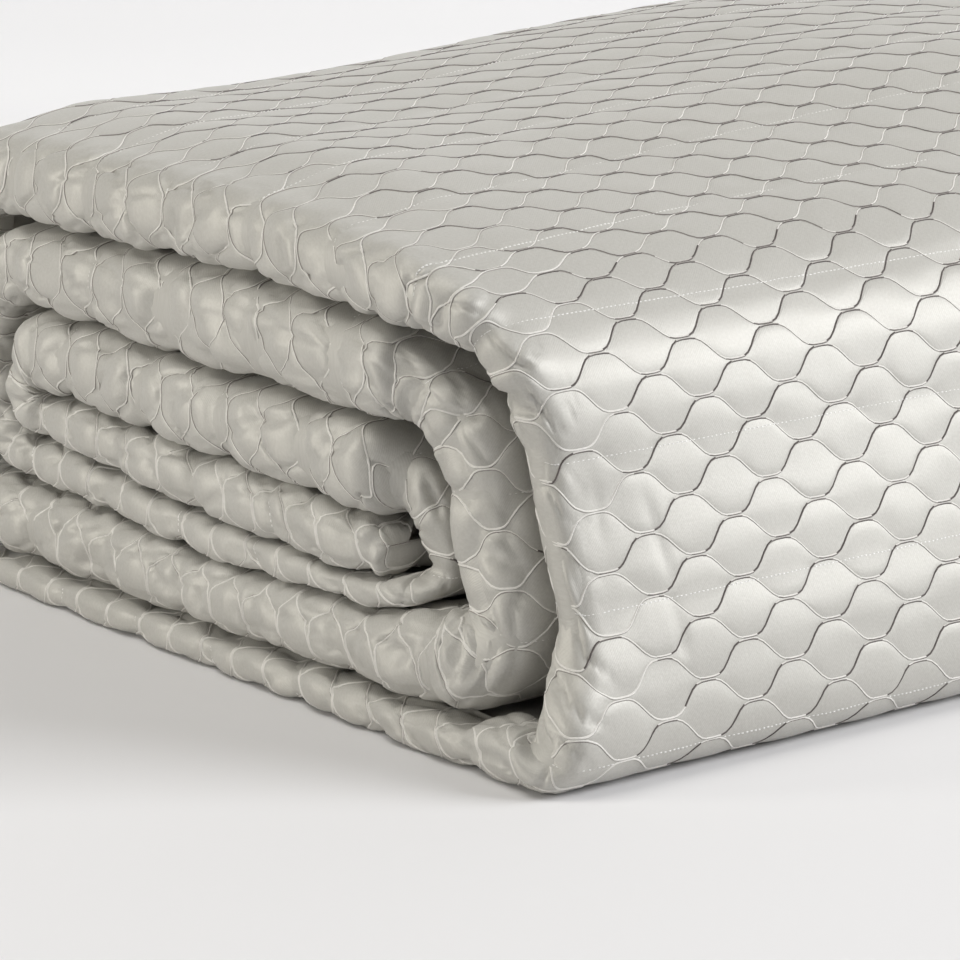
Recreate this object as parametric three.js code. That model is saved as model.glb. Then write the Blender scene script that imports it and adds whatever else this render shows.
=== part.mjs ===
// A quilted coverlet, folded in four across and then rolled flat into a low stack of seven passes.
// Millimetres. X runs along the stack from its banded end, Y from its front to its back, Z up.
// Every shape is made in the plain roll, where all passes are level and equally thick, and is
// then settled: the passes sink into each other, the front leans back and the top swells.

import * as THREE from 'three';

// The cloth
const LAYER = 5.2;            // loft of one layer between two quilting lines
const SEWN = 3.4;             // thickness of a layer on a quilting line
const LINE_PITCH = 53.5;      // from one quilting line to the next
const FIRST_LINE = 6.1;       // from the inner end of the strip to its first quilting line

// The strip: four layers, one fold inside the other
const LENGTH = 600;           // length of the folded strip along X
const LAYER_GAP = 1.0;        // air between two layers
const STRIP = 4 * LAYER + 3 * LAYER_GAP;
const HEM_BACK = [2, 8];      // how far the two hems stop short of the end, lower and upper
const FLAT_STEPS = [0.25, 0.5, 0.75];   // points along the flat of a layer, as parts of its length

// The roll
const DEPTH = 430;            // front to back
const PASS_GAP = 1.6;         // air between two passes
const PITCH = STRIP + PASS_GAP;
const PASSES = 7;             // pass 1 is the top one
const INNER_PASS = 4;         // the pass in which the strip starts
const INNER_END = 101;        // where it starts, from the front
const OUTER_END = 410;        // where it ends, under the stack
const TURN_STEP = THREE.MathUtils.degToRad(48);   // most that two sections may turn

// The turns in order along the strip. reach is where the outer skin turns, from the front,
// top and bottom are the radii of the strip's middle there, and nose is how far the banded
// end is drawn in.
const TURNS = [
  { end: 'far', to: 3, reach: 372, top: 60, bottom: 60, nose: 0 },
  { end: 'front', to: 5, reach: 55, top: 60, bottom: 60, nose: 14 },
  { end: 'far', to: 2, reach: 401, top: 30, bottom: 30, nose: 0 },
  { end: 'front', to: 6, reach: 28, top: 30, bottom: 18, nose: 12 },
  { end: 'far', to: 1, reach: 430, top: 40, bottom: 30, nose: 0 },
  { end: 'front', to: 7, reach: 0, top: 30, bottom: 15, nose: 21 },
];
const NOSE_RAMP = 0.3;        // part of a turn over which its nose is drawn in

// How far the fold of each pass stands back from the banded end, for passes 1 to 7
const PASS_NOSE = [0, 0, 0, 2, 4, 0, -2];

// The settled stack: heights between the passes from the floor up, at five places from the front
const SETTLED_AT = [45, 83, 133, 223, 343];
const SETTLED = [
  { under: 7, heights: [0, 0, 0, 0, 0] },
  { under: 6, heights: [20, 14, 14, 12, 11] },
  { under: 5, heights: [50, 52, 43, 39, 43] },
  { under: 4, heights: [74, 66, 53, 53, 62] },
  { under: 3, heights: [98, 93, 76, 77, 80] },
  { under: 2, heights: [126, 125, 110, 108, 112] },
  { under: 1, heights: [152, 152, 148, 148, 144] },
  { under: 0, heights: [177, 178, 178, 178, 178] },
];
const PRESSED = 1.2;          // the lowest skin is pressed flat up to this height

// The second wrap is slack at the front: plain depths and where they come to lie
const SLACK = [
  { plain: 0, real: 0 },
  { plain: 28, real: 28 },
  { plain: 52, real: 62 },
  { plain: 100, real: 98 },
  { plain: DEPTH, real: DEPTH },
];

// The front leans back by a part of the plain height, and the top swells by a part of its own
const LEAN = { part: 0.34, from: 60, to: 320 };
const CROWN = { edge: 0.05, shoulder: 0.05, shoulderTo: 60, middle: 0.10, from: 100, to: 400 };
const CROWN_DEPTH = { from: 58, to: 214 };
const CROWN_BACK = { part: 0.18, from: 320, to: 420 };
const CROWN_END = { reach: 60, over: 180 };

const QUILT_COLOUR = 0xd8d5cf;

function smooth(value, from, to) {
  return THREE.MathUtils.smoothstep(value, from, to);
}

function levelOf(pass) {
  return STRIP / 2 + (PASSES - pass) * PITCH;
}

// The strip's middle in the plain roll, as a path in Y and Z
function rollPath() {
  const path = new THREE.Path();
  const spans = [];
  let pass = INNER_PASS;
  path.moveTo(INNER_END, levelOf(pass));
  for (const turn of TURNS) {
    const side = turn.end === 'far' ? 1 : -1;
    const half = Math.abs(levelOf(pass) - levelOf(turn.to)) / 2;
    const top = Math.min(turn.top, half);
    const bottom = Math.min(turn.bottom, half);
    const first = turn.end === 'far' ? bottom : top;
    const second = turn.end === 'far' ? top : bottom;
    const middle = turn.reach - side * STRIP / 2;
    const start = -side * Math.PI / 2;
    path.lineTo(middle - side * first, levelOf(pass));
    const begin = path.getLength();
    path.absarc(middle - side * first, levelOf(pass) + side * first, first, start, start + Math.PI / 2);
    path.absarc(middle - side * second, levelOf(turn.to) - side * second, second,
      start + Math.PI / 2, start + Math.PI);
    path.cacheLengths = null;
    spans.push({ begin, end: path.getLength(), from: pass, to: turn.to, nose: turn.nose });
    pass = turn.to;
  }
  path.lineTo(OUTER_END, levelOf(pass));
  path.cacheLengths = null;
  return { path, spans, length: path.getLength() };
}

const roll = rollPath();

function slackDepth(depth) {
  const row = SLACK.findIndex((step, i) => i > 0 && depth <= step.plain);
  const next = SLACK[row < 0 ? SLACK.length - 1 : row];
  const last = SLACK[(row < 0 ? SLACK.length - 1 : row) - 1];
  return THREE.MathUtils.mapLinear(depth, last.plain, next.plain, last.real, next.real);
}

// Height of one gap between passes, at a place from the front
function settledHeight(row, depth) {
  let height = row.heights[0];
  for (let i = 1; i < SETTLED_AT.length; i += 1) {
    const step = row.heights[i] - row.heights[i - 1];
    height += step * smooth(depth, SETTLED_AT[i - 1], SETTLED_AT[i]);
  }
  return height;
}

function plainGap(index) {
  if (index === 0) {
    return 0;
  }
  return index * PITCH - (index === PASSES ? PASS_GAP : PASS_GAP / 2);
}

function crown(x, depth) {
  const shoulder = CROWN.shoulder * smooth(x, 0, CROWN.shoulderTo);
  const middle = CROWN.middle * smooth(x, CROWN.from, CROWN.to);
  const end = smooth(LENGTH + CROWN_END.reach - x, 0, CROWN_END.over);
  const front = smooth(depth, CROWN_DEPTH.from, CROWN_DEPTH.to);
  const back = 1 - CROWN_BACK.part * smooth(depth, CROWN_BACK.from, CROWN_BACK.to);
  return (CROWN.edge + shoulder + middle) * end * front * back;
}

// From the plain roll to the settled one
function settle(x, plainDepth, plainHeight) {
  const slack = slackDepth(plainDepth);
  const depth = slack + LEAN.part * plainHeight * (1 - smooth(slack, LEAN.from, LEAN.to));
  let gap = 0;
  while (gap < PASSES - 1 && plainHeight >= plainGap(gap + 1)) {
    gap += 1;
  }
  const low = settledHeight(SETTLED[gap], depth);
  const high = settledHeight(SETTLED[gap + 1], depth);
  const level = THREE.MathUtils.mapLinear(plainHeight, plainGap(gap), plainGap(gap + 1), low, high);
  const height = plainHeight < PRESSED ? 0 : level * (1 + crown(x, depth));
  return new THREE.Vector3(x, depth, height);
}

// How far the banded end is drawn in, along the strip
function noseAt(distance) {
  let nose = PASS_NOSE[INNER_PASS - 1];
  for (const span of roll.spans) {
    const part = THREE.MathUtils.mapLinear(distance, span.begin, span.end, 0, 1);
    const ramp = smooth(Math.min(part, 1 - part), 0, NOSE_RAMP);
    nose += (PASS_NOSE[span.to - 1] - PASS_NOSE[span.from - 1]) * smooth(part, 0, 1);
    nose += span.nose * ramp;
  }
  return nose;
}

// The middle lines of the four layers across the strip, from one hem to the other.
// s runs along X, n from the strip's middle towards the outside of the roll.
function layerLine() {
  const pitch = LAYER + LAYER_GAP;
  const outer = 1.5 * pitch;
  const inner = 0.5 * pitch;
  const noseCentre = STRIP / 2;
  const foldCentre = LENGTH - inner - LAYER / 2;
  const line = [];
  const flat = (n, from, to) => {
    for (const part of FLAT_STEPS) {
      line.push({ s: THREE.MathUtils.lerp(from, to, part), n, ds: Math.sign(to - from), dn: 0 });
    }
  };
  const bend = (centre, middle, radius, from, to, steps) => {
    for (let i = 0; i <= steps; i += 1) {
      const angle = from + (to - from) * i / steps;
      const turn = Math.sign(to - from);
      line.push({
        s: centre + radius * Math.cos(angle),
        n: middle + radius * Math.sin(angle),
        ds: -turn * Math.sin(angle),
        dn: turn * Math.cos(angle),
      });
    }
  };
  line.push({ s: LENGTH - HEM_BACK[1], n: -inner, ds: -1, dn: 0 });
  flat(-inner, foldCentre, noseCentre);
  bend(noseCentre, 0, inner, -Math.PI / 2, -3 * Math.PI / 2, 2);
  flat(inner, noseCentre, foldCentre);
  bend(foldCentre, pitch, inner, -Math.PI / 2, Math.PI / 2, 3);
  flat(outer, foldCentre, noseCentre);
  bend(noseCentre, 0, outer, Math.PI / 2, 3 * Math.PI / 2, 4);
  flat(-outer, noseCentre, foldCentre);
  line.push({ s: LENGTH - HEM_BACK[0], n: -outer, ds: 1, dn: 0 });
  return line;
}

// The closed outline of the four layers, with a given loft
function stripOutline(loft) {
  const line = layerLine();
  const side = (sign) => line.map((point) => ({
    s: point.s + sign * point.dn * loft / 2,
    n: point.n - sign * point.ds * loft / 2,
  }));
  return [...side(1), ...side(-1).reverse()];
}

// Distance along the outer skin for even steps along the strip
function skinLengths(steps) {
  const lengths = [0];
  let last = null;
  for (let i = 0; i <= steps; i += 1) {
    const here = roll.path.getPoint(i / steps);
    const ahead = roll.path.getTangent(i / steps);
    const skin = settle(LENGTH / 4, here.x + ahead.y * STRIP / 2, here.y - ahead.x * STRIP / 2);
    if (last) {
      lengths.push(lengths[lengths.length - 1] + skin.distanceTo(last));
    }
    last = skin;
  }
  return lengths;
}

// The sections: one on each quilting line, one halfway between two, and more in tight turns
function sections() {
  const steps = Math.round(roll.length);
  const lengths = skinLengths(steps);
  const cuts = [{ part: 0, loft: LAYER }];
  let half = 0;
  for (let i = 1; i < steps; i += 1) {
    const next = FIRST_LINE + half * LINE_PITCH / 2;
    if (lengths[i] >= next) {
      cuts.push({ part: i / steps, loft: half % 2 === 0 ? SEWN : LAYER });
      half += 1;
    }
  }
  cuts.push({ part: 1, loft: LAYER });
  const all = [cuts[0]];
  for (let i = 1; i < cuts.length; i += 1) {
    const from = cuts[i - 1];
    const to = cuts[i];
    const turn = turnBetween(from.part, to.part);
    const extra = Math.ceil(turn / TURN_STEP);
    for (let j = 1; j < extra; j += 1) {
      const share = j / extra;
      all.push({
        part: THREE.MathUtils.lerp(from.part, to.part, share),
        loft: THREE.MathUtils.lerp(from.loft, to.loft, share),
      });
    }
    all.push(to);
  }
  return all;
}

function turnBetween(from, to) {
  const a = roll.path.getTangent(from).angle();
  const b = roll.path.getTangent(to).angle();
  return THREE.MathUtils.euclideanModulo(b - a + Math.PI, 2 * Math.PI) - Math.PI;
}

function quiltGeometry() {
  const positions = [];
  const indices = [];
  const cuts = sections();
  const count = stripOutline(LAYER).length;
  for (const cut of cuts) {
    const middle = roll.path.getPoint(cut.part);
    const ahead = roll.path.getTangent(cut.part);
    const nose = noseAt(cut.part * roll.length);
    for (const point of stripOutline(cut.loft)) {
      const x = point.s + nose * (1 - point.s / LENGTH);
      const settled = settle(x, middle.x + ahead.y * point.n, middle.y - ahead.x * point.n);
      positions.push(...settled.toArray());
    }
  }
  for (let i = 1; i < cuts.length; i += 1) {
    for (let j = 0; j < count; j += 1) {
      const k = (j + 1) % count;
      const a = (i - 1) * count + j;
      const b = (i - 1) * count + k;
      const c = i * count + k;
      const d = i * count + j;
      indices.push(a, b, c, a, c, d);
    }
  }
  const last = (cuts.length - 1) * count;
  for (let a = 0; a < count / 2 - 1; a += 1) {
    const b = a + 1;
    const c = count - 1 - b;
    const d = count - 1 - a;
    indices.push(a, c, b, a, d, c);
    indices.push(last + a, last + b, last + c, last + a, last + c, last + d);
  }
  const geometry = new THREE.BufferGeometry();
  geometry.setAttribute('position', new THREE.Float32BufferAttribute(positions, 3));
  geometry.setIndex(indices);
  return geometry;
}

// The group's origin is the middle of the footprint, on the floor
function quiltMesh() {
  const material = new THREE.MeshStandardMaterial({
    color: QUILT_COLOUR, roughness: 0.55, metalness: 0,
  });
  const mesh = new THREE.Mesh(quiltGeometry(), material);
  mesh.name = 'quilt';
  const box = new THREE.Box3().setFromObject(mesh);
  const centre = box.getCenter(new THREE.Vector3());
  mesh.position.set(-centre.x, -centre.y, -box.min.z);
  return mesh;
}

const group = new THREE.Group();
group.add(quiltMesh());

export default group;
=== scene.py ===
# The looks of a folded quilted coverlet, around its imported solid.
# Shapes are worked out in millimetres in the quilt's own frame: X from the banded end, Y from the
# front, Z up. The cloth's own directions are u, along X on the flats and round the folds, and v,
# along the roll. Every shape is made in the plain roll and then settled, as the solid is.

import math

import bpy
import numpy as np
from mathutils import Matrix, Vector


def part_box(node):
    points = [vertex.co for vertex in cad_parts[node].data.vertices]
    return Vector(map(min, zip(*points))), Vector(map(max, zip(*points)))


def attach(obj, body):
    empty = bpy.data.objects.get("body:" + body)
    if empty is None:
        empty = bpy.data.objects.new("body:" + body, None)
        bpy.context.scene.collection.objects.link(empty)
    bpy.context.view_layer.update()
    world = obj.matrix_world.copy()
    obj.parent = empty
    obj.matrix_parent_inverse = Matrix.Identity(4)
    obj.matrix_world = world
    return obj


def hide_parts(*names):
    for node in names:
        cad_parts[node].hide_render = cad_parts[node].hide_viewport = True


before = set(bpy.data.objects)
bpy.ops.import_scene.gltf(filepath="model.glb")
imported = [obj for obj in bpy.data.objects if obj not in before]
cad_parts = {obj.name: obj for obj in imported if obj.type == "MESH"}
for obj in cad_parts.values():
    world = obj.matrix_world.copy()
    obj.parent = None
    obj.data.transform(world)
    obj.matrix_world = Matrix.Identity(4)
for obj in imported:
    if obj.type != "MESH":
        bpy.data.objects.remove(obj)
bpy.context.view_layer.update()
node_low, node_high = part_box("quilt")

MM = 0.001

# The strip
LENGTH = 600.0
LAYER = 5.2
LAYER_GAP = 1.0
STRIP = 4 * LAYER + 3 * LAYER_GAP
HEM_BACK = (2.0, 8.0)            # how far the outer and inner hems lie back from the far end

# The roll
DEPTH = 430.0
PASS_GAP = 1.6
PITCH = STRIP + PASS_GAP
PASSES = 7
INNER_PASS = 4
INNER_END = 101.0
OUTER_END = 410.0
# end, pass that it comes from, pass that it goes to, reach, top radius, bottom radius, nose
TURNS = (
    ("far", 4, 3, 372.0, 60.0, 60.0, 0.0),
    ("front", 3, 5, 55.0, 60.0, 60.0, 14.0),
    ("far", 5, 2, 401.0, 30.0, 30.0, 0.0),
    ("front", 2, 6, 28.0, 30.0, 18.0, 12.0),
    ("far", 6, 1, 430.0, 40.0, 30.0, 0.0),
    ("front", 1, 7, 0.0, 30.0, 15.0, 21.0),
)
NOSE_RAMP = 0.3                  # part of a turn over which its nose is drawn in
# How far the banded end of each pass is drawn in
PASS_NOSE = {4: 2.0, 3: 0.0, 5: 4.0, 2: 0.0, 6: 0.0, 1: 0.0, 7: -2.0}

# The settled stack
# Heights of the bounds between the passes, at five depths
LEVEL_DEPTHS = (45.0, 83.0, 133.0, 223.0, 343.0)
LEVELS = np.array([
    [0, 0, 0, 0, 0],
    [20, 14, 14, 12, 11],
    [50, 52, 43, 39, 43],
    [74, 66, 53, 53, 62],
    [98, 93, 76, 77, 80],
    [126, 125, 110, 108, 112],
    [152, 152, 148, 148, 144],
    [177, 178, 178, 178, 178],
], float)
# Depths in the plain roll, and where they come to lie
SLACK_PLAIN = (0.0, 28.0, 52.0, 100.0, DEPTH)
SLACK_REAL = (0.0, 28.0, 62.0, 98.0, DEPTH)
LEAN = 0.34
LEAN_FROM = 60.0
LEAN_OVER = 260.0
# The swell of the stack: base, then amount, x where it begins and over how far
SWELL_BASE = 0.05
SWELLS = ((0.05, 0.0, 60.0), (0.1, 100.0, 300.0))
SWELL_PAST = 60.0                # it ends this far past the far end
SWELL_OVER = 180.0
CROWN_FROM = 58.0
CROWN_OVER = 156.0
CROWN_BACK = 0.18
CROWN_BACK_FROM = 320.0
CROWN_BACK_OVER = 100.0

# The ogee lines and the quilting lines
REPEAT_U = 40.2
REPEAT_V = 22.0
LINE_STEP = REPEAT_V / 2
NECK = 0.8                      # clear cloth between two lines where they come close
SWING = (LINE_STEP - NECK) / 2
LINE_ZERO = 8.0
# v, and how far the lines are shifted along u there
LINE_SHIFTS = (
    (2180, 5.3), (2265, -0.5), (2310, -0.5), (2325, 2.0), (2340, 3.8), (2355, 6.3), (2370, 8.0),
    (2400, 7.7), (2415, 5.5), (2430, 3.0), (2450, 1.0),
)
FORM = 0.11                     # part of the third wave, which makes the flanks steeper
SHOULDER = 2285.0               # v where the top turns into the front
LINE_SKEW = (-1.0, 0.2)         # lean of the waves on the top and on the front
DROOP = 17.0                    # how far the rows on the top run to the front at the bands
DROOP_FROM = 10.0
DROOP_OVER = 190.0
DROOP_BEGIN = 1760.0
DROOP_END = 2310.0
DROOP_RISE = 120.0
DROOP_RAMP = 60.0
SEAM_STEP = 53.5
SEAM_ZERO = 6.1


def smooth(t):
    t = np.clip(t, 0.0, 1.0)
    return t * t * (3 - 2 * t)


def level_of(number):
    return STRIP / 2 + (PASSES - number) * PITCH


def plain_path(step):
    """The strip's middle in the plain roll: points and directions in Y and Z."""
    points = []
    ahead = []

    def straight(start, end):
        length = math.dist(start, end)
        count = max(2, int(length / step) + 1)
        for t in np.linspace(0, 1, count, endpoint=False):
            points.append((start[0] + (end[0] - start[0]) * t, start[1] + (end[1] - start[1]) * t))
            ahead.append(((end[0] - start[0]) / length, (end[1] - start[1]) / length))

    def arc(centre, radius, start, end):
        count = max(6, int(abs(end - start) * radius / step) + 1)
        for a in np.linspace(start, end, count, endpoint=False):
            points.append((centre[0] + radius * math.cos(a), centre[1] + radius * math.sin(a)))
            ahead.append((-math.sin(a), math.cos(a)))

    here = (INNER_END, level_of(INNER_PASS))
    for end, leaves, enters, reach, top, bottom, _ in TURNS:
        low, high = level_of(leaves), level_of(enters)
        half = abs(high - low) / 2
        side = 1 if end == "far" else -1
        middle = reach - side * STRIP / 2
        first, second = (bottom, top) if end == "far" else (top, bottom)
        first = min(first, half)
        second = min(second, half)
        straight(here, (middle - side * first, low))
        begin = -side * math.pi / 2
        arc((middle - side * first, low + side * first), first, begin, begin + math.pi / 2)
        from_height = low + side * first
        to_height = high - side * second
        if abs(from_height - to_height) > 1e-6:
            straight((middle, from_height), (middle, to_height))
        arc((middle - side * second, to_height), second, begin + math.pi / 2, begin + math.pi)
        here = (middle - side * second, high)
    straight(here, (OUTER_END, here[1]))
    points.append((OUTER_END, here[1]))
    ahead.append((1.0, 0.0))
    return np.array(points), np.array(ahead)


BOUNDS = np.arange(PASSES + 1) * PITCH - PASS_GAP / 2
BOUNDS[0] = 0.0
BOUNDS[PASSES] = PASSES * PITCH - PASS_GAP


def settle(x, y, z):
    """From the plain roll to the settled one."""
    x, y, z = np.broadcast_arrays(x, y, z)
    y = np.interp(y, SLACK_PLAIN, SLACK_REAL)
    y = y + LEAN * z * (1 - smooth((y - LEAN_FROM) / LEAN_OVER))
    blends = [
        smooth((y - a) / (b - a)) for a, b in zip(LEVEL_DEPTHS[:-1], LEVEL_DEPTHS[1:])
    ]
    heights = []
    for row in LEVELS:
        height = row[0]
        for i, blend in enumerate(blends):
            height = height + blend * (row[i + 1] - row[i])
        heights.append(height)
    out = np.zeros_like(z, dtype=float)
    for k in range(PASSES):
        inside = (z >= BOUNDS[k]) if k else np.ones_like(z, bool)
        part = (z - BOUNDS[k]) / (BOUNDS[k + 1] - BOUNDS[k])
        out = np.where(inside, heights[k] + part * (heights[k + 1] - heights[k]), out)
    swell = SWELL_BASE
    for amount, begin, over in SWELLS:
        swell = swell + amount * smooth((x - begin) / over)
    swell = swell * smooth((LENGTH + SWELL_PAST - x) / SWELL_OVER)
    swell = swell * (1 - CROWN_BACK * smooth((y - CROWN_BACK_FROM) / CROWN_BACK_OVER))
    out = out * (1 + swell * smooth((y - CROWN_FROM) / CROWN_OVER))
    return np.stack([x, y, out], -1)


PATH_STEP = 0.5
PATH, AHEAD = plain_path(PATH_STEP)
SIDE = np.stack([AHEAD[:, 1], -AHEAD[:, 0]], 1)
RUN = np.r_[0, np.cumsum(np.hypot(*np.diff(PATH, axis=0).T))]
TURNED = np.unwrap(np.arctan2(AHEAD[:, 1], AHEAD[:, 0]))


def nose_table():
    """How far the banded end is drawn in, along the path."""
    nose = np.full(len(PATH), PASS_NOSE[INNER_PASS])
    for i, (_, leaves, enters, _, _, _, drawn) in enumerate(TURNS):
        inside = (TURNED > i * math.pi + 1e-3) & (TURNED < (i + 1) * math.pi - 1e-3)
        begin, stop = RUN[inside][0], RUN[inside][-1]
        part = np.clip((RUN - begin) / (stop - begin), 0, 1)
        nose += (PASS_NOSE[enters] - PASS_NOSE[leaves]) * smooth(part)
        nose += drawn * smooth(np.minimum(part, 1 - part) / NOSE_RAMP)
    return nose


NOSE = nose_table()


def skin_of(x, offset):
    return settle(x, PATH[:, 0] + SIDE[:, 0] * offset, PATH[:, 1] + SIDE[:, 1] * offset)


SKIN = skin_of(LENGTH / 4, STRIP / 2)
V_TABLE = np.r_[0, np.cumsum(np.linalg.norm(np.diff(SKIN, axis=0), axis=1))]
V_END = V_TABLE[-1]


def even_out(values, width):
    """A running mean along the path, over a width in millimetres."""
    count = int(width / PATH_STEP)
    padded = np.r_[np.full(count, values[0]), values, np.full(count, values[-1])]
    kernel = np.ones(2 * count + 1) / (2 * count + 1)
    return np.convolve(padded, kernel, "valid")


HALF_AT = 25.0                   # x where the strip's settled thickness is measured
HALF_OVER = 12.0
THICKNESS = np.linalg.norm(skin_of(HALF_AT, STRIP / 2) - skin_of(HALF_AT, -STRIP / 2), axis=1)
HALF = even_out(0.5 * THICKNESS, HALF_OVER)
TANGENT = NOSE + HALF            # where the flat of the outer layer ends and its fold begins
FOLD_SHARE = 2 * LAYER + LAYER_GAP    # plain thickness of the two outer layers
FAR_HALF = FOLD_SHARE / STRIP * HALF  # radius of the fold at the far end


def at(table, v):
    return np.interp(v, V_TABLE, table)


def turn_start(index):
    inside = TURNED > index * math.pi + 1e-3
    return V_TABLE[inside][0]


def turn_end(index):
    inside = TURNED > (index + 1) * math.pi - 1e-3
    return V_TABLE[inside][0]


NOSE_FULL = 0.78                 # below 1 the folds are fuller than round
START_ROUND = 13.0               # how far the rounded inner end reaches past the strip's start
START_CAP = 0.995 * START_ROUND * math.pi / 2


def place(u, v):
    """The outer skin at u and v, with no relief."""
    u, v = np.broadcast_arrays(u, v)
    half = at(HALF, v)
    begin = at(TANGENT, v)
    phi = (begin - u) / half
    bent = np.clip(phi, 0, math.pi)
    sine, cosine = np.sin(bent), np.cos(bent)
    x = np.where(phi < 0, u, np.where(
        phi < math.pi, begin - half * np.abs(sine) ** NOSE_FULL, begin - u + begin - math.pi * half
    ))
    n = STRIP / 2 * np.sign(cosine) * np.abs(cosine) ** NOSE_FULL
    far = at(FAR_HALF, v)
    psi = (u - (LENGTH - far)) / far
    x = np.where(psi > 0, LENGTH - far + far * np.sin(np.clip(psi, 0, math.pi)), x)
    x = np.where(psi > math.pi, LENGTH - far - far * (psi - math.pi), x)
    n = np.where(psi > 0, STRIP / 2 - FOLD_SHARE / 2 * (1 - np.cos(np.clip(psi, 0, math.pi))), n)
    past = np.clip(-v / START_ROUND, 0, math.pi / 2)
    shrink = np.cos(past)
    n = n * shrink
    x = np.where((past > 0) & (phi > 0), begin + (x - begin) * (0.35 + 0.65 * shrink), x)
    back = START_ROUND * np.sin(past)
    y = at(PATH[:, 0], v) + at(SIDE[:, 0], v) * n - at(AHEAD[:, 0], v) * back
    z = at(PATH[:, 1], v) + at(SIDE[:, 1], v) * n - at(AHEAD[:, 1], v) * back
    return settle(x, y, z)


def normal(u, v):
    """Outward normals of the plain skin, by small steps."""
    step = 0.6
    du = place(u + step, v) - place(u - step, v)
    dv = place(u, v + step) - place(u, v - step)
    n = np.cross(dv, du)
    n /= np.maximum(np.linalg.norm(n, axis=-1, keepdims=True), 1e-9)
    return n


def droop(u, v):
    """How far the pattern is drawn to the front near the bands, on the top."""
    along = smooth((v - DROOP_BEGIN) / DROOP_RISE) * smooth((DROOP_END - v) / DROOP_RAMP)
    return DROOP * along * (1 - smooth((u - DROOP_FROM) / DROOP_OVER))


def wave(u, v):
    skew = LINE_SKEW[0] + (LINE_SKEW[1] - LINE_SKEW[0]) * smooth((v - SHOULDER + 20) / 40)
    places, shifts = zip(*LINE_SHIFTS)
    shift = np.interp(v, places, shifts)
    sign = np.where(np.round((v - LINE_ZERO) / LINE_STEP) % 2 == 0, 1.0, -1.0)
    value = 0.0
    for _ in range(3):
        angle = 2 * math.pi * (u - shift - skew * value) / REPEAT_U
        value = sign * (np.sin(angle) + FORM * np.sin(3 * angle)) / (1 - FORM)
    return value


def line_v(k, u):
    """v of ogee line k at u."""
    base = LINE_ZERO + k * LINE_STEP
    flat = base + SWING * wave(u, base)
    return flat + droop(u, flat)


def lumps(u, v, size, seed):
    """Soft unevenness, mostly between -1 and 1, with lumps of about a size in millimetres."""
    rng = np.random.default_rng(seed)
    total = 0.0
    for _ in range(5):
        angle = rng.uniform(0, math.pi)
        scale = 2 * math.pi / (size * rng.uniform(0.7, 1.6))
        shift = rng.uniform(0, 2 * math.pi)
        total = total + np.sin((u * math.cos(angle) + v * math.sin(angle)) * scale + shift)
    return total / 2.4


def seam_offset(u, v):
    """Distance from the nearest quilting line, signed along v."""
    from_zero = v - droop(u, v) - SEAM_ZERO
    return (from_zero + SEAM_STEP / 2) % SEAM_STEP - SEAM_STEP / 2


# Soft creases, listed one by one: u, v, direction in degrees from u, half length, half width and
# depth, a ridge where the depth is below 0
CREASES = (
    # the front's edge, where it turns into its first fold
    (13, 2392, 90, 38, 30, 5.0),
    (16, 2412, 75, 14, 2.4, 3.2),
    (21, 2410, 75, 13, 2.6, -1.8),
    (27, 2405, 100, 12, 2.2, 2.0),
    (12, 2339, 20, 9, 2.5, 5.0),
    (8, 2328, 90, 8, 8, -2.0),
    (-5, 2456, 60, 7, 2, 2.5),
    (23, 2366, 115, 9, 3, 1.6),
    # the rounded inner end of the strip
    (16, 6, 15, 20, 3.0, 3.0),
    (-4, -6, 40, 12, 3.0, 3.0),
    (26, -8, 110, 8, 3.0, 2.4),
    # the second turn of the corner, inside the first
    (-2, 1404, 85, 16, 1.8, 2.4),
    (4, 1400, 95, 14, 1.8, 2.2),
    (-9, 1412, 80, 14, 2, 2.2),
    (1, 1402, 90, 14, 2, -1.2),
    (14, 1366, 30, 9, 2.6, 2.2),
    (22, 1353, 110, 10, 3, 1.4),
    # pinched ends of the bands beside the corner
    (15, 1312, 0, 6, 2.2, 4.0),
    (29, 1294, 60, 8, 2.6, 1.8),
    (18, 560, 90, 8, 2, 3.0),
    (6, 1280, 75, 8, 2.6, 1.8),
    # soft dents on the front
    (39, 2378, 100, 9, 2.2, 0.9),
    (62, 2392, 85, 14, 2.5, 0.9),
    (63, 2424, 90, 10, 2.2, 0.8),
    (24, 2400, 90, 8, 2.5, 1.0),
    # tucks and crumples on the bands, from the top band down
    (-13, 2117, 20, 9, 2.6, 2.4),
    (-6, 2132, 60, 8, 3.0, 1.6),
    (-11, 2218, 70, 11, 3.0, 2.2),
    (-20, 2214, 10, 8, 3.0, 1.6),
    (-3, 2277, 80, 12, 3.4, 2.0),
    (-9, 1122, 35, 9, 3.0, 2.2),
    (-22, 1157, 0, 8, 3.0, 2.0),
    (-1, 1237, 110, 12, 3.0, 2.4),
    (-9, 1195, 60, 10, 3.0, 1.6),
    (-2, 328, 50, 9, 2.8, 2.0),
    (6, 355, 100, 10, 3.0, 2.2),
    (-2, 411, 60, 9, 2.6, 2.4),
    (-2, 468, 80, 11, 2.6, 2.4),
    (0, 508, 40, 9, 3.0, 2.0),
    (-13, 885, 60, 9, 3.0, 2.0),
    (-8, 797, 30, 9, 3.0, 2.2),
    (1, 702, 100, 12, 3.0, 2.2),
    (-16, 39, 60, 9, 2.8, 2.4),
    (-19, 83, 20, 8, 2.8, 1.8),
    (2, 120, 110, 10, 3.0, 2.0),
    (-10, 1593, 40, 9, 3.0, 2.2),
    (-7, 1672, 70, 10, 3.0, 2.2),
    (-12, 1694, 20, 8, 2.8, 1.8),
    (-8, 1493, 30, 10, 3.0, 2.4),
    (-12, 1462, 70, 9, 2.6, 2.2),
)


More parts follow.
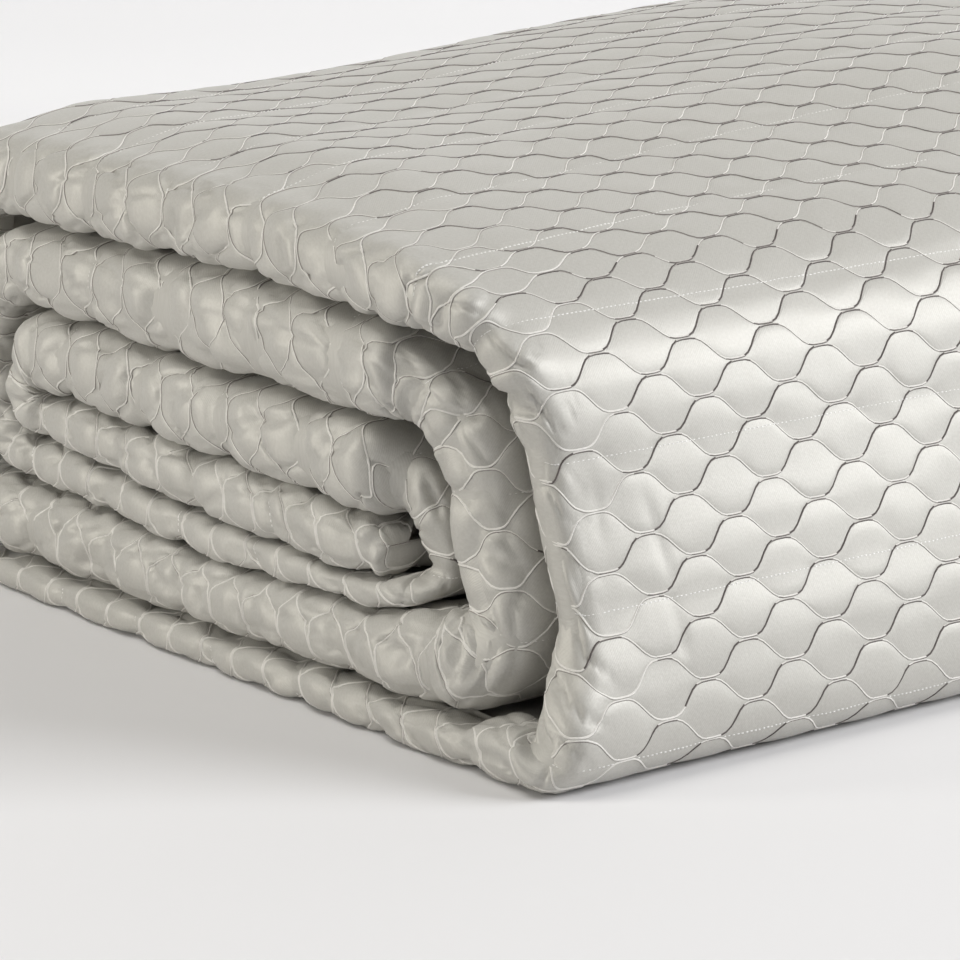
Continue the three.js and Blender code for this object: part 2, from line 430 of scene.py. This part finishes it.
def creases(u, v):
    height = 0.0
    for cu, cv, angle, length, width, depth in CREASES:
        a = math.radians(angle)
        along = (u - cu) * math.cos(a) + (v - cv) * math.sin(a)
        across = (v - cv) * math.cos(a) - (u - cu) * math.sin(a)
        height = height - depth * np.exp(-(along / length) ** 4 - (across / width) ** 2)
    return height


# The relief: heights, what is added to them on the noses and on the front, and widths
PILLOW = 0.6
PILLOW_ON_NOSE = 0.6
VALLEY = 1.2
VALLEY_ON_FRONT = -0.85
VALLEY_ON_NOSE = 0.9
VALLEY_WIDTH = 4.5
WIDE_VALLEY = 0.6
WIDE_VALLEY_ON_FRONT = -0.4
WIDE_VALLEY_WIDTH = 14.0
TUCK = 1.8
TUCK_WIDTH = 3.0
BROAD = 0.3
BROAD_ON_NOSE = 0.1
WOBBLE = 0.8
WRINKLE = 1.9
DEEPEST = 2.5                    # the troughs stay above the core
DEEPER_ON_NOSE = 1.1


def relief(u, v, k, part):
    """Height of the cloth over its plain skin, at a part of the way from line k to the next."""
    half = at(HALF, v)
    begin = at(TANGENT, v)
    phi = np.clip((begin - u) / half, 0, math.pi)
    on_nose = smooth((begin + 10 - u) / (10 + half))
    size = np.clip(half / 11, 0.5, 1.0)
    gap = line_v(k + 1, u) - line_v(k, u)
    skew = np.clip(0.6 * lumps(u, v, 46.0, 3), -0.6, 0.6)
    a, b = 1 + skew, 1 - skew
    part = np.clip(part, 1e-6, 1 - 1e-6)
    hump = part ** a * (1 - part) ** b / ((a / 2) ** a * (b / 2) ** b)
    pillow = (PILLOW + PILLOW_ON_NOSE * on_nose) * (gap / 20) * hump
    seam = np.abs(seam_offset(u, v))
    deep = 1.0 + 0.35 * lumps(u, v, 120.0, 5)
    on_front = smooth((v - SHOULDER + 10) / 30) * (1 - on_nose)
    depth = VALLEY + VALLEY_ON_FRONT * on_front + VALLEY_ON_NOSE * on_nose
    valley = depth * deep * np.exp(-seam / VALLEY_WIDTH)
    depth = WIDE_VALLEY + WIDE_VALLEY_ON_FRONT * on_front
    valley = valley + depth * np.exp(-((seam / WIDE_VALLEY_WIDTH) ** 2))
    tuck = TUCK * np.sin(phi) * np.exp(-((seam / TUCK_WIDTH) ** 2))
    broad = 0.5 * np.sin(u / 31 + v / 53 + 0.4) + 0.5 * np.sin(u / 57 - v / 37 + 2.1)
    broad = broad + 0.35 * np.sin(u / 17 - v / 71 + 4.0) * np.sin(v / 23 + 1.0)
    sharp = 1 - np.abs(lumps(u * 1.3, v, 34.0, 11))
    wobble = WOBBLE * lumps(u, v, 27.0, 7) - WRINKLE * np.clip(sharp, 0, 1) ** 5
    broad = (BROAD + BROAD_ON_NOSE * on_nose) * broad
    height = pillow - valley - tuck + broad + on_nose * wobble
    height = height + creases(u, v)
    height = size * height * np.cos(np.clip(-v / START_ROUND, 0, math.pi / 2))
    deepest = DEEPEST + DEEPER_ON_NOSE * on_nose
    return np.where(height < 0, -deepest * np.tanh(-height / deepest), height)


def cell_of(u, v):
    """The line below a place, and the part of the way to the next one."""
    u, v = np.broadcast_arrays(u, v)
    k = np.floor((v - droop(u, v) - LINE_ZERO) / LINE_STEP).astype(int)
    for _ in range(2):
        k = np.where(line_v(k, u) > v, k - 1, k)
        k = np.where(line_v(k + 1, u) <= v, k + 1, k)
    low = line_v(k, u)
    return k, (v - low) / (line_v(k + 1, u) - low)


def surface_at(u, v):
    """Points of the uneven cloth and its outward normals."""
    k, part = cell_of(u, v)
    outward = normal(u, v)
    return place(u, v) + outward * relief(u, v, k, part)[..., None], outward


def to_frame(points):
    """From the quilt's own frame in millimetres to the part's frame in metres."""
    shift = np.array([node_high[0] - LENGTH * MM, node_high[1] - DEPTH * MM, 0.0])
    return np.asarray(points) * MM + shift


# Rows of the cloth mesh between two ogee lines
ROW_PARTS = (0.0, 0.06, 0.2, 0.4, 0.6, 0.8, 0.94)


def rows_between(v_from, v_to):
    """Row numbers k and parts, from one v to another."""
    first = math.ceil((v_from - LINE_ZERO) / LINE_STEP)
    last = math.floor((v_to - LINE_ZERO) / LINE_STEP)
    k = np.repeat(np.arange(first, last), len(ROW_PARTS))
    part = np.tile(ROW_PARTS, last - first)
    return np.r_[k, last], np.r_[part, 0.0]


# Least heights over the floor
CLOTH_CLEAR = 0.05
THREAD_CLEAR = 0.02

# Where the blocks of columns meet, and how far the cloth runs on past its folds
NOSE_JOIN = 46.0
FAR_JOIN = 570.0
NOSE_TUCK = 14.0
FAR_TUCK = 8.0


def columns(v_rows, kinds):
    """u of each column on each row. kinds: nose, flat and far, with their steps."""
    low = (at(TANGENT, v_rows) - math.pi * at(HALF, v_rows) - NOSE_TUCK)[:, None]
    far = at(FAR_HALF, v_rows)
    high = (LENGTH - far + math.pi * far + FAR_TUCK)[:, None]
    blocks = []
    if "nose" in kinds:
        t = np.linspace(0, 1, kinds["nose"], endpoint="flat" not in kinds)[None, :]
        blocks.append(low + (NOSE_JOIN - low) * t)
    if "flat" in kinds:
        t = np.linspace(0, 1, kinds["flat"], endpoint="far" not in kinds)[None, :]
        flat = NOSE_JOIN + (FAR_JOIN - NOSE_JOIN) * t
        blocks.append(np.broadcast_to(flat, (len(v_rows), t.size)))
    if "far" in kinds:
        t = np.linspace(0, 1, kinds["far"])[None, :]
        blocks.append(FAR_JOIN + (high - FAR_JOIN) * t)
    return np.concatenate(blocks, 1)


def cloth_grid(v_from, v_to, kinds):
    k, part = rows_between(v_from, v_to)
    base = LINE_ZERO + (k + part) * LINE_STEP
    u = columns(base, kinds)
    kk = k[:, None]
    pp = part[:, None]
    lower = line_v(kk, u)
    upper = line_v(kk + 1, u)
    v = np.clip(lower + (upper - lower) * pp, -START_CAP, V_END - 0.5)
    height = relief(u, v, kk, pp)
    points = place(u, v)
    outward = normal(u, v)
    return {"u": u, "v": v, "k": k, "part": part, "points": points, "outward": outward,
            "height": height}


def finish_grid(grid):
    points = grid["points"] + grid["outward"] * grid["height"][..., None]
    points[..., 2] = np.maximum(points[..., 2], CLOTH_CLEAR)
    grid["surface"] = points
    return grid


def grid_normals(points):
    """Vertex normals of a whole grid."""
    du = np.gradient(points, axis=1)
    dv = np.gradient(points, axis=0)
    n = np.cross(dv, du)
    n /= np.maximum(np.linalg.norm(n, axis=-1, keepdims=True), 1e-12)
    return n


def add_mesh(name, points, faces, materials, uv=None, normals=None, indices=None):
    """One mesh object from arrays. faces is quads or triangles, uv is per vertex."""
    mesh = bpy.data.meshes.new(name)
    faces = np.asarray(faces, dtype=np.int32)
    sides = faces.shape[1]
    mesh.vertices.add(len(points))
    mesh.vertices.foreach_set("co", np.asarray(points, np.float32).ravel())
    mesh.loops.add(faces.size)
    mesh.loops.foreach_set("vertex_index", faces.ravel())
    mesh.polygons.add(len(faces))
    mesh.polygons.foreach_set("loop_start", np.arange(0, faces.size, sides, dtype=np.int32))
    mesh.polygons.foreach_set("loop_total", np.full(len(faces), sides, dtype=np.int32))
    for material in materials:
        mesh.materials.append(material)
    if indices is not None:
        mesh.polygons.foreach_set("material_index", np.asarray(indices, np.int32))
    if uv is not None:
        layer = mesh.uv_layers.new(name="cloth")
        layer.data.foreach_set("uv", np.asarray(uv, np.float32)[faces.ravel()].ravel())
    mesh.update(calc_edges=True)
    mesh.shade_smooth()
    if normals is not None:
        mesh.normals_split_custom_set_from_vertices(np.asarray(normals, np.float32))
    mesh.validate()
    thing = bpy.data.objects.new(name, mesh)
    bpy.context.collection.objects.link(thing)
    return thing


def grid_faces(rows, cols):
    index = np.arange(rows * cols).reshape(rows, cols)
    a = index[:-1, :-1].ravel()
    b = index[:-1, 1:].ravel()
    c = index[1:, 1:].ravel()
    d = index[1:, :-1].ravel()
    return np.stack([a, d, c, b], 1)


def add_cloth(name, grid, row_from, row_to, material):
    rows = slice(row_from, row_to + 1)
    surface = grid["surface"]
    normals = grid_normals(surface)[rows]
    points = surface[rows]
    count, cols = points.shape[:2]
    uv = np.stack([grid["u"][rows], grid["v"][rows]], -1) * MM
    return add_mesh(name, to_frame(points.reshape(-1, 3)), grid_faces(count, cols), [material],
                    uv.reshape(-1, 2), normals.reshape(-1, 3))


# The cord that runs along each ogee line: offsets across it and heights of its profile
CORD_PROFILE = ((-0.76, -0.12), (-0.50, 0.18), (-0.10, 0.52), (0.28, 0.40), (0.78, -0.12))
# Kinds of the profile's strips: 0 light thread, 1 dark thread with painted shade, 2 between, with
# painted half shade. One row for the folds, one for where a line runs level, one for the strokes
# painted dark as if turned from the light and one for the strokes left light.
CORD_KINDS = ((0, 0, 0, 2), (0, 0, 2, 1), (2, 1, 1, 2), (2, 0, 0, 2))
FIRST_STROKES = 42.0             # u where the strokes begin
STROKES_VARY = 24.0              # how much that varies from line to line
CORD_PART = (0.74, 0.76, 0.88)   # size of the cords on the front, on the top and on the folds


def cord_arrays(grid):
    """Vertices, faces and face kinds of the cords on a grid's line rows."""
    surface = grid["surface"]
    normals = grid_normals(surface)
    lines = np.nonzero(grid["part"] == 0.0)[0]
    centre = surface[lines]
    up = normals[lines]
    along = np.gradient(centre, axis=1)
    along /= np.maximum(np.linalg.norm(along, axis=-1, keepdims=True), 1e-9)
    across = np.cross(up, along)
    across /= np.maximum(np.linalg.norm(across, axis=-1, keepdims=True), 1e-9)
    u_lines, v_lines = grid["u"][lines], grid["v"][lines]
    on_front = smooth((v_lines - SHOULDER) / 30) * smooth((u_lines - 30) / 20)
    on_fold = smooth((30 - u_lines) / 20)
    part = CORD_PART[1] + (CORD_PART[0] - CORD_PART[1]) * on_front
    part = (part + (CORD_PART[2] - CORD_PART[1]) * on_fold)[..., None]
    ring = np.stack([
        centre + (up * high - across * side) * part for side, high in CORD_PROFILE
    ], 2)
    ring[..., 2] = np.maximum(ring[..., 2], THREAD_CLEAR)
    rows, cols, sides = ring.shape[:3]
    index = np.arange(rows * cols * sides).reshape(rows, cols, sides)
    faces = []
    kinds = []
    # Strokes that rise one way are painted dark, as if turned from the light; the way flips between
    # the top and the front
    slope = np.diff(v_lines, axis=1) / np.diff(u_lines, axis=1)
    middle_u, middle_v = u_lines[:, :-1], v_lines[:, :-1]
    rise = np.where(middle_v < SHOULDER + droop(middle_u, middle_v), slope, -slope)
    painted_shade_stroke = np.where(rise > 0.3, 2, np.where(rise < -0.3, 3, 1))
    starts = FIRST_STROKES + STROKES_VARY * np.sin(2.4 * lines)[:, None]
    painted_shade_stroke = np.where(middle_u > starts, painted_shade_stroke, 0)
    table = np.array(CORD_KINDS)
    for j in range(sides - 1):
        a = index[:, :-1, j].ravel()
        b = index[:, 1:, j].ravel()
        c = index[:, 1:, j + 1].ravel()
        d = index[:, :-1, j + 1].ravel()
        faces.append(np.stack([a, d, c, b], 1))
        kinds.append(table[painted_shade_stroke, j].ravel())
    uv = np.stack([u_lines, v_lines], -1)
    uv = np.repeat(uv[:, :, None, :], sides, 2) * MM
    return (ring.reshape(-1, 3), np.concatenate(faces), np.concatenate(kinds), uv.reshape(-1, 2))


# The running stitches along the quilting lines
STITCH_PITCH = 2.0
STITCH_LONG = 1.2
STITCH_WIDE = 0.7
STITCH_HIGH = 0.32
STITCH_END = 12                  # no quilting line in the last of the roll
# u where the rows of stitches begin, and how far before the far end or the join they stop
STITCHES_WRAP = (-6.0, 6.0)
STITCHES_BANDS = (-10.0, 2.0)
STITCH_SUNK = 0.15
STITCH_RIDGE = 0.6               # length of a stitch's top, as a part of its whole length


def stitch_arrays(u_from, u_to, v_lines):
    """One little roof for each stitch, on lines along u."""
    count = int((u_to - u_from) / STITCH_PITCH)
    u = u_from + (np.arange(count) + 0.5) * STITCH_PITCH
    u, v = np.meshgrid(u, v_lines)
    u, v = u.ravel(), v.ravel()
    rng = np.random.default_rng(21)
    u = u + rng.uniform(-0.15, 0.15, len(u))
    v = v + droop(u, v) + rng.uniform(-0.12, 0.12, len(u))
    centre, up = surface_at(u, v)
    along = surface_at(u + 0.5, v)[0] - surface_at(u - 0.5, v)[0]
    along /= np.linalg.norm(along, axis=-1, keepdims=True)
    across = np.cross(up, along)
    half_long, half_wide = STITCH_LONG / 2, STITCH_WIDE / 2
    base = centre - up * STITCH_SUNK
    top = centre + up * STITCH_HIGH
    points = np.stack([
        base - along * half_long - across * half_wide,
        base + along * half_long - across * half_wide,
        base + along * half_long + across * half_wide,
        base - along * half_long + across * half_wide,
        top - along * half_long * STITCH_RIDGE,
        top + along * half_long * STITCH_RIDGE,
    ], 1)
    points[..., 2] = np.maximum(points[..., 2], THREAD_CLEAR)
    first = np.arange(len(u))[:, None] * 6
    corners = ((0, 1, 5), (0, 5, 4), (2, 3, 4), (2, 4, 5), (1, 2, 5), (3, 0, 4))
    faces = np.concatenate([first + np.array(c)[None, :] for c in corners])
    uv = np.repeat(np.stack([u, v], -1), 6, 0) * MM
    return points.reshape(-1, 3), faces, np.zeros(len(faces), int), uv


def join_arrays(parts):
    points, faces, kinds, uvs = [], [], [], []
    offset = 0
    for p, f, k, w in parts:
        points.append(p)
        faces.append(f + offset)
        kinds.append(k)
        uvs.append(w)
        offset += len(p)
    return np.concatenate(points), np.concatenate(faces), np.concatenate(kinds), np.concatenate(uvs)


# Materials

def new_material(name, colour, roughness, sheen=0.0, specular=0.5, metallic=0.0):
    material = bpy.data.materials.new(name)
    material.use_nodes = True
    shader = material.node_tree.nodes["Principled BSDF"]
    shader.inputs["Base Color"].default_value = (*colour, 1.0)
    shader.inputs["Roughness"].default_value = roughness
    shader.inputs["Sheen Weight"].default_value = sheen
    shader.inputs["Sheen Roughness"].default_value = 0.4
    shader.inputs["Specular IOR Level"].default_value = specular
    shader.inputs["Metallic"].default_value = metallic
    return material, material.node_tree, shader


def cloth_coordinates(nodes, links):
    """The cloth's own directions in millimetres."""
    uv = nodes.new("ShaderNodeUVMap")
    uv.uv_map = "cloth"
    scale = nodes.new("ShaderNodeMapping")
    scale.inputs["Scale"].default_value = (1000, 1000, 1000)
    links.new(uv.outputs["UV"], scale.inputs["Vector"])
    return scale


def noise(nodes, links, vector, scale, detail):
    node = nodes.new("ShaderNodeTexNoise")
    node.inputs["Scale"].default_value = scale
    node.inputs["Detail"].default_value = detail
    links.new(vector, node.inputs["Vector"])
    return node


def satin_material():
    material, tree, shader = new_material("satin_weave", (0.49, 0.475, 0.44), 0.5, 0.12, 0.25, 0.24)
    nodes, links = tree.nodes, tree.links
    scale = cloth_coordinates(nodes, links)
    twill = nodes.new("ShaderNodeTexWave")
    twill.bands_direction = "DIAGONAL"
    twill.inputs["Scale"].default_value = 0.55
    twill.inputs["Distortion"].default_value = 0.6
    twill.inputs["Detail"].default_value = 1.0
    links.new(scale.outputs["Vector"], twill.inputs["Vector"])
    slub = noise(nodes, links, scale.outputs["Vector"], 0.9, 3.0)
    coord = nodes.new("ShaderNodeTexCoord")
    broad = noise(nodes, links, coord.outputs["Object"], 9.0, 2.0)
    tint = nodes.new("ShaderNodeMix")
    tint.data_type = "RGBA"
    tint.inputs["A"].default_value = (0.465, 0.453, 0.420, 1)
    tint.inputs["B"].default_value = (0.550, 0.539, 0.506, 1)
    add = nodes.new("ShaderNodeMath")
    add.operation = "MULTIPLY_ADD"
    links.new(broad.outputs["Fac"], add.inputs[0])
    add.inputs[1].default_value = 0.6
    links.new(slub.outputs["Fac"], add.inputs[2])
    scaled = nodes.new("ShaderNodeMapRange")
    scaled.inputs["From Min"].default_value = 0.45
    scaled.inputs["From Max"].default_value = 1.15
    links.new(add.outputs[0], scaled.inputs["Value"])
    links.new(scaled.outputs["Result"], tint.inputs["Factor"])
    links.new(tint.outputs["Result"], shader.inputs["Base Color"])
    weave = nodes.new("ShaderNodeMath")
    weave.operation = "MULTIPLY_ADD"
    links.new(twill.outputs["Fac"], weave.inputs[0])
    weave.inputs[1].default_value = 0.6
    links.new(slub.outputs["Fac"], weave.inputs[2])
    grain = nodes.new("ShaderNodeTangent")
    grain.direction_type = "UV_MAP"
    grain.uv_map = "cloth"
    links.new(grain.outputs["Tangent"], shader.inputs["Tangent"])
    shader.inputs["Anisotropic"].default_value = 0.6
    bump = nodes.new("ShaderNodeBump")
    bump.inputs["Strength"].default_value = 0.25
    bump.inputs["Distance"].default_value = 0.0002
    links.new(weave.outputs[0], bump.inputs["Height"])
    links.new(bump.outputs["Normal"], shader.inputs["Normal"])
    return material


def thread_material(name, dark, light, roughness, sheen):
    material, tree, shader = new_material(name, dark, roughness, sheen, 0.4)
    nodes, links = tree.nodes, tree.links
    scale = cloth_coordinates(nodes, links)
    twist = noise(nodes, links, scale.outputs["Vector"], 0.7, 2.0)
    tint = nodes.new("ShaderNodeMix")
    tint.data_type = "RGBA"
    tint.inputs["A"].default_value = (*dark, 1)
    tint.inputs["B"].default_value = (*light, 1)
    links.new(twist.outputs["Fac"], tint.inputs["Factor"])
    links.new(tint.outputs["Result"], shader.inputs["Base Color"])
    return material


satin = satin_material()
crest = thread_material("cord_crest", (0.62, 0.605, 0.57), (0.79, 0.77, 0.735), 0.6, 0.2)
# The dark and between cord strips: the thread's own darker colour, with painted shade and shadow
# along the cord's sides
thread_and_half_shade = thread_material("cord_thread_and_painted_half_shade", (0.24, 0.222, 0.205), (0.36, 0.34, 0.315), 0.7, 0.0)
dark_thread_and_shade = thread_material("cord_dark_thread_and_painted_shade", (0.05, 0.042, 0.04), (0.13, 0.113, 0.107), 0.8, 0.0)
stitch = thread_material("stitch_thread", (0.74, 0.73, 0.71), (0.86, 0.85, 0.83), 0.5, 0.1)

# The cloth: the outermost wrap whole, the other passes at their banded end and far end
WRAP_BEFORE = 18
WRAP_AFTER = 42
WRAP_FROM = turn_start(4) - WRAP_BEFORE
WRAP_TO = turn_end(5) + WRAP_AFTER
wrap_low = LINE_ZERO + math.ceil((WRAP_FROM - LINE_ZERO) / LINE_STEP) * LINE_STEP
wrap_high = LINE_ZERO + math.floor((WRAP_TO - LINE_ZERO) / LINE_STEP) * LINE_STEP

ROW_SLACK = 0.1                  # so that a span's first and last line fall inside it
CAP_SLACK = 12                   # rows begin this far before the rounded inner end

pieces = []
cords = []


def make_cloth():
    wrap_columns = {"nose": 56, "flat": 235, "far": 20}
    wrap = finish_grid(cloth_grid(wrap_low - ROW_SLACK, wrap_high + ROW_SLACK, wrap_columns))
    count = len(wrap["k"]) - 1
    middle = count // (2 * len(ROW_PARTS)) * len(ROW_PARTS)
    pieces.append(add_cloth("cloth_wrap_back", wrap, 0, middle, satin))
    pieces.append(add_cloth("cloth_wrap_front", wrap, middle, count, satin))
    cords.append(("cord_wrap", [cord_arrays(wrap)]))
    band_cords = []
    spans = (
        ("inner", -START_CAP - CAP_SLACK, wrap_low + ROW_SLACK),
        ("under", wrap_high - ROW_SLACK, V_END),
    )
    for name, low, high in spans:
        for end, kinds in (("bands", {"nose": 50}), ("ends", {"far": 14})):
            grid = finish_grid(cloth_grid(low, high, kinds))
            pieces.append(add_cloth(f"cloth_{end}_{name}", grid, 0, len(grid["k"]) - 1, satin))
            band_cords.append(cord_arrays(grid))
    cords.append(("cord_bands", band_cords))


make_cloth()


def make_stitches():
    count = int((V_END - STITCH_END - SEAM_ZERO) / SEAM_STEP)
    lines = SEAM_ZERO + np.arange(1, count + 1) * SEAM_STEP
    wrap = (lines > wrap_low + 1) & (lines < wrap_high - 1)
    parts = [stitch_arrays(STITCHES_WRAP[0], LENGTH - STITCHES_WRAP[1], lines[wrap])]
    parts.append(stitch_arrays(STITCHES_BANDS[0], NOSE_JOIN - STITCHES_BANDS[1], lines[~wrap]))
    points, faces, kinds, uv = join_arrays(parts)
    pieces.append(add_mesh("stitches", to_frame(points), faces, [stitch], uv))


make_stitches()

for name, parts in cords:
    points, faces, kinds, uv = join_arrays(parts)
    pieces.append(add_mesh(name, to_frame(points), faces, [crest, dark_thread_and_shade, thread_and_half_shade], uv, None, kinds))


# The core: all four layers of the whole strip, a little inside the detailed skin
CORE_INSET = 2.6
CORE_STEP = 6.0
CORE_START = 3.0
CORE_THINNEST = 0.62             # most of a layer that the inset takes
SKIN_BAND = 0.5


def layer_line():
    """Middle lines of the four layers: s, n, and the direction along them."""
    pitch = LAYER + LAYER_GAP
    outer, inner = 1.5 * pitch, 0.5 * pitch
    nose = STRIP / 2
    fold = LENGTH - inner - LAYER / 2
    line = []

    def flat(n, start, end):
        for part in (0.06, 0.2, 0.35, 0.5, 0.65, 0.8, 0.94):
            line.append((start + (end - start) * part, n, math.copysign(1, end - start), 0.0))

    def bend(centre, middle, radius, start, end, steps):
        turn = math.copysign(1, end - start)
        for i in range(steps + 1):
            a = start + (end - start) * i / steps
            line.append((centre + radius * math.cos(a), middle + radius * math.sin(a),
                         -turn * math.sin(a), turn * math.cos(a)))

    line.append((LENGTH - HEM_BACK[1], -inner, -1.0, 0.0))
    flat(-inner, fold, nose)
    bend(nose, 0, inner, -math.pi / 2, -1.5 * math.pi, 4)
    flat(inner, nose, fold)
    bend(fold, pitch, inner, -math.pi / 2, math.pi / 2, 6)
    flat(outer, fold, nose)
    bend(nose, 0, outer, math.pi / 2, 1.5 * math.pi, 8)
    flat(-outer, nose, fold)
    line.append((LENGTH - HEM_BACK[0], -outer, 1.0, 0.0))
    return np.array(line)


def make_core():
    line = layer_line()
    half = LAYER / 2
    outline = []
    for sign in (1, -1):
        s = line[:, 0] + sign * line[:, 3] * half
        n = line[:, 1] - sign * line[:, 2] * half
        side = np.stack([s, n], 1)
        outline.append(side if sign > 0 else side[::-1])
    outline = np.concatenate(outline)
    count = len(outline)
    stations = int(RUN[-1] / CORE_STEP)
    run = np.linspace(CORE_START, RUN[-1], stations + 1)
    y0, z0 = np.interp(run, RUN, PATH[:, 0]), np.interp(run, RUN, PATH[:, 1])
    sy, sz = np.interp(run, RUN, SIDE[:, 0]), np.interp(run, RUN, SIDE[:, 1])
    nose = np.interp(run, RUN, NOSE)
    real_half = np.interp(run, RUN, HALF)
    s = outline[:, 0][None, :]
    n = outline[:, 1][None, :]
    per_mm = (STRIP / 2 / real_half)[:, None]
    thin = np.minimum(CORE_INSET * per_mm, CORE_THINNEST * LAYER)
    skin = np.abs(n) > STRIP / 2 - SKIN_BAND
    near_fold = smooth((STRIP / 2 + 2 - s) / 4)
    inset = np.where(skin | (near_fold > 0), thin, 0.0)
    radial = np.maximum(np.hypot(np.minimum(s - STRIP / 2, 0), n), 1e-6)
    is_outer = radial > STRIP / 2 - SKIN_BAND
    scale = np.where(is_outer, 1 - inset / radial, 1.0)
    n2 = n * scale
    s2 = np.where(s < STRIP / 2, STRIP / 2 + (s - STRIP / 2) * scale, s)
    s2 = np.where(s2 > LENGTH - 3.5, s2 - 1.2, s2)
    x = s2 + nose[:, None] * (1 - s2 / LENGTH)
    points = settle(x, y0[:, None] + sy[:, None] * n2, z0[:, None] + sz[:, None] * n2)
    points[..., 2] = np.maximum(points[..., 2], 0.0)
    rows = len(run)
    index = np.arange(rows * count).reshape(rows, count)
    nxt = np.roll(index, -1, 1)
    quads = np.stack([index[:-1].ravel(), nxt[:-1].ravel(), nxt[1:].ravel(), index[1:].ravel()], 1)
    caps = []
    for i in range(count // 2 - 1):
        a, b, c, d = i, i + 1, count - 2 - i, count - 1 - i
        caps.append((a, d, c, b))
        last = (rows - 1) * count
        caps.append((last + a, last + b, last + c, last + d))
    faces = np.concatenate([quads, np.array(caps)])
    uv = np.stack(np.broadcast_arrays(s, run[:, None]), -1)
    return add_mesh("quilt_core", to_frame(points.reshape(-1, 3)), faces, [satin],
                    uv.reshape(-1, 2) * MM)


core = make_core()

for piece in pieces + [core]:
    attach(piece, "root")
    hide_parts("quilt")

# The floor and backdrop
SHAPE_ORIGIN = to_frame(np.zeros(3))


def point(x, y, z):
    return Vector(SHAPE_ORIGIN) + Vector((x, y, z)) * MM


# Floor that curves up far behind. Its painted light, an emission glow with no lamp, grows brighter
# from 0.45 m to 1.3 m along the camera's way.
FLOOR_TONE = (0.74, 0.735, 0.745)
FAR_PAINTED_GLOW = 0.27
GLOW_FROM = 0.45
GLOW_TO = 1.3
FLOOR_FRONT = -3.0
FLOOR_BACK = 1.6
FLOOR_SIDE = 5.0
BEND_RADIUS = 1.0
BEND_STEPS = 12
WALL_TOP = 4.0
AZIMUTH = math.radians(37.9)     # the camera's way, from Y towards X


def make_stage():
    material, tree, shader = new_material("studio_floor", FLOOR_TONE, 0.9, 0.0, 0.2)
    nodes, links = tree.nodes, tree.links
    forward = Vector((math.sin(AZIMUTH), math.cos(AZIMUTH), 0))
    right = Vector((forward.y, -forward.x, 0))
    centre = point(250, 150, -0.4)
    coord = nodes.new("ShaderNodeTexCoord")
    along = nodes.new("ShaderNodeVectorMath")
    along.operation = "DOT_PRODUCT"
    along.inputs[1].default_value = forward
    links.new(coord.outputs["Object"], along.inputs[0])
    painted_glow = nodes.new("ShaderNodeMapRange")
    painted_glow.interpolation_type = "SMOOTHSTEP"
    painted_glow.inputs["From Min"].default_value = GLOW_FROM
    painted_glow.inputs["From Max"].default_value = GLOW_TO
    painted_glow.inputs["To Max"].default_value = FAR_PAINTED_GLOW
    links.new(along.outputs["Value"], painted_glow.inputs["Value"])
    # Painted light: the floor glows more towards the back, with no lamp there
    shader.inputs["Emission Color"].default_value = (1.0, 1.0, 1.0, 1.0)
    links.new(painted_glow.outputs["Result"], shader.inputs["Emission Strength"])
    profile = [(FLOOR_FRONT, 0.0), (FLOOR_BACK, 0.0)]
    for i in range(1, BEND_STEPS + 1):
        a = math.pi / 2 * i / BEND_STEPS
        ahead = FLOOR_BACK + BEND_RADIUS * math.sin(a)
        profile.append((ahead, BEND_RADIUS - BEND_RADIUS * math.cos(a)))
    profile.append((FLOOR_BACK + BEND_RADIUS, WALL_TOP))
    points = []
    for side in (-FLOOR_SIDE, FLOOR_SIDE):
        for ahead, up in profile:
            points.append(centre + right * side + forward * ahead + Vector((0, 0, up)))
    count = len(profile)
    faces = [(i, i + count, i + count + 1, i + 1) for i in range(count - 1)]
    mesh = bpy.data.meshes.new("studio_floor")
    mesh.from_pydata(points, [], faces)
    mesh.materials.append(material)
    mesh.shade_smooth()
    floor = bpy.data.objects.new("studio_floor", mesh)
    bpy.context.collection.objects.link(floor)


make_stage()


def area_light(name, where, towards, size, power, colour):
    data = bpy.data.lights.new(name, "AREA")
    data.shape = "SQUARE"
    data.size = size
    data.energy = power
    data.color = colour
    lamp = bpy.data.objects.new(name, data)
    lamp.location = where
    lamp.rotation_euler = (towards - where).to_track_quat("-Z", "Y").to_euler()
    bpy.context.collection.objects.link(lamp)


area_light("key", point(2000, -1700, 1450), point(300, 50, 90), 1.5, 84.0, (0.975, 0.985, 1.0))
area_light("fill", point(-1700, 1100, 500), point(0, 150, 90), 0.45, 13.0, (1.0, 0.97, 0.89))
area_light("over", point(-900, 300, 2300), point(150, 150, 100), 1.4, 24.0, (1.0, 0.98, 0.93))

world = bpy.data.worlds.new("studio")
world.use_nodes = True
world.node_tree.nodes["Background"].inputs["Color"].default_value = (1.0, 0.985, 0.95, 1.0)
world.node_tree.nodes["Background"].inputs["Strength"].default_value = 0.25
bpy.context.scene.world = world
bpy.context.scene.view_settings.view_transform = "Standard"

# The camera, as the photograph was taken
PITCH_DOWN = math.radians(14.2)
CAMERA_AT = (-893.5, -1096.0, 476.5)
LENS = 161.9


def make_camera():
    forward = Vector((
        math.sin(AZIMUTH) * math.cos(PITCH_DOWN),
        math.cos(AZIMUTH) * math.cos(PITCH_DOWN),
        -math.sin(PITCH_DOWN),
    ))
    right = Vector((math.cos(AZIMUTH), -math.sin(AZIMUTH), 0))
    up = right.cross(forward)
    data = bpy.data.cameras.new("camera")
    data.sensor_width = 36.0
    data.lens = LENS
    data.clip_start = 0.05
    data.clip_end = 30.0
    camera = bpy.data.objects.new("camera", data)
    turn = Matrix((right, up, -forward)).transposed()
    camera.matrix_world = Matrix.Translation(point(*CAMERA_AT)) @ turn.to_4x4()
    bpy.context.collection.objects.link(camera)
    bpy.context.scene.camera = camera


make_camera()
